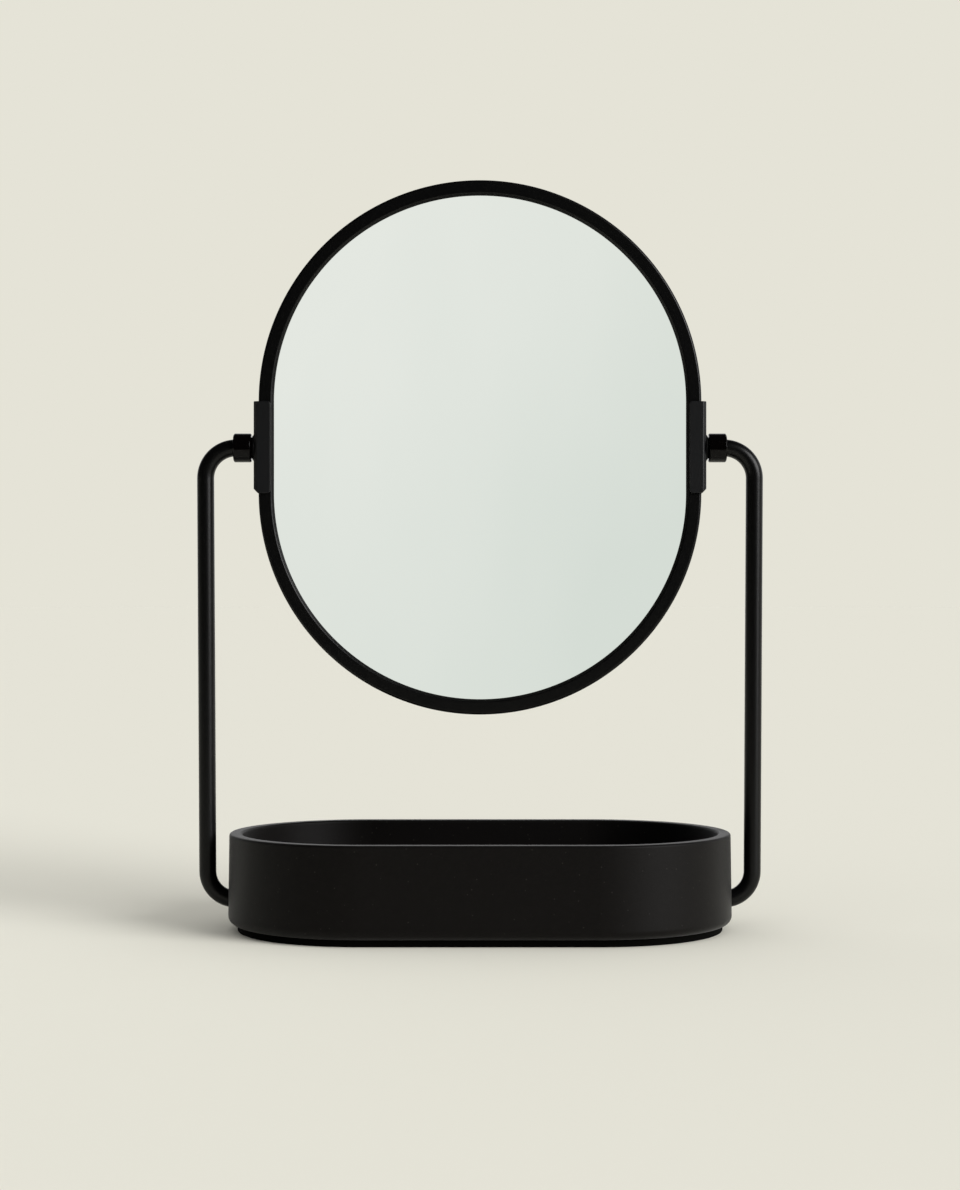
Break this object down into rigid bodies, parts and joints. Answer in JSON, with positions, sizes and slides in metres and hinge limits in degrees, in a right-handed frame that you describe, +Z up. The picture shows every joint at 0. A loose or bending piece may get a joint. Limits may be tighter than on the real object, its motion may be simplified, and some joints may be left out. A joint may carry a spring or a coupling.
{
  "type": "tray-base table mirror",
  "caption": "Obround table mirror that turns between bent rod arms rising from a rounded tray base, which holds jewellery and other small things.",
  "frame": {"origin": "middle of the foot pad's underside, on the table", "axes": "+Z up, +X along the tray and the mirror's turning axis towards the right arm, +Y towards the back, so the glass faces -Y at rest"},
  "size_m": [0.2662, 0.1292, 0.3515],
  "materials": {
    "tray_moulding": "matte",
    "black_moulding": "matte",
    "foot_rubber": "matte",
    "black_coated_steel": "satin",
    "gloss_black_steel": "gloss",
    "clip_coating": "satin",
    "washer_nylon": "satin",
    "silvered_glass": "polished",
    "foam": "matte",
    "zinc_steel": "satin",
    "black_screws": "satin"
  },
  "bodies": {
    "stand": {"tray_body": "tray_moulding", "bottom_cover": "black_moulding", "bottom_cover_screws": "zinc_steel", "foot_pad": "foot_rubber", "arm_screws": "zinc_steel", "arm_washers": "zinc_steel", "left_arm": "black_coated_steel", "right_arm": "black_coated_steel", "left_pivot_sleeve": "gloss_black_steel", "right_pivot_sleeve": "gloss_black_steel", "left_cone_washer": "washer_nylon", "right_cone_washer": "washer_nylon", "spring_washers": "zinc_steel", "pivot_screws": "zinc_steel"},
    "mirror_head": {"mirror_frame": "black_coated_steel", "mirror_glass": "silvered_glass", "backing_foam": "foam", "back_cover": "black_moulding", "back_cover_screws": "black_screws", "left_clip": "clip_coating", "right_clip": "clip_coating", "clip_screws": "black_screws"}
  },
  "joints": [
    {"name": "mirror_tilt", "type": "hinge", "parent": "stand", "child": "mirror_head", "pos_m": [0, 0, 0.2262], "axis": [1, 0, 0], "continuous": true}
  ]
}
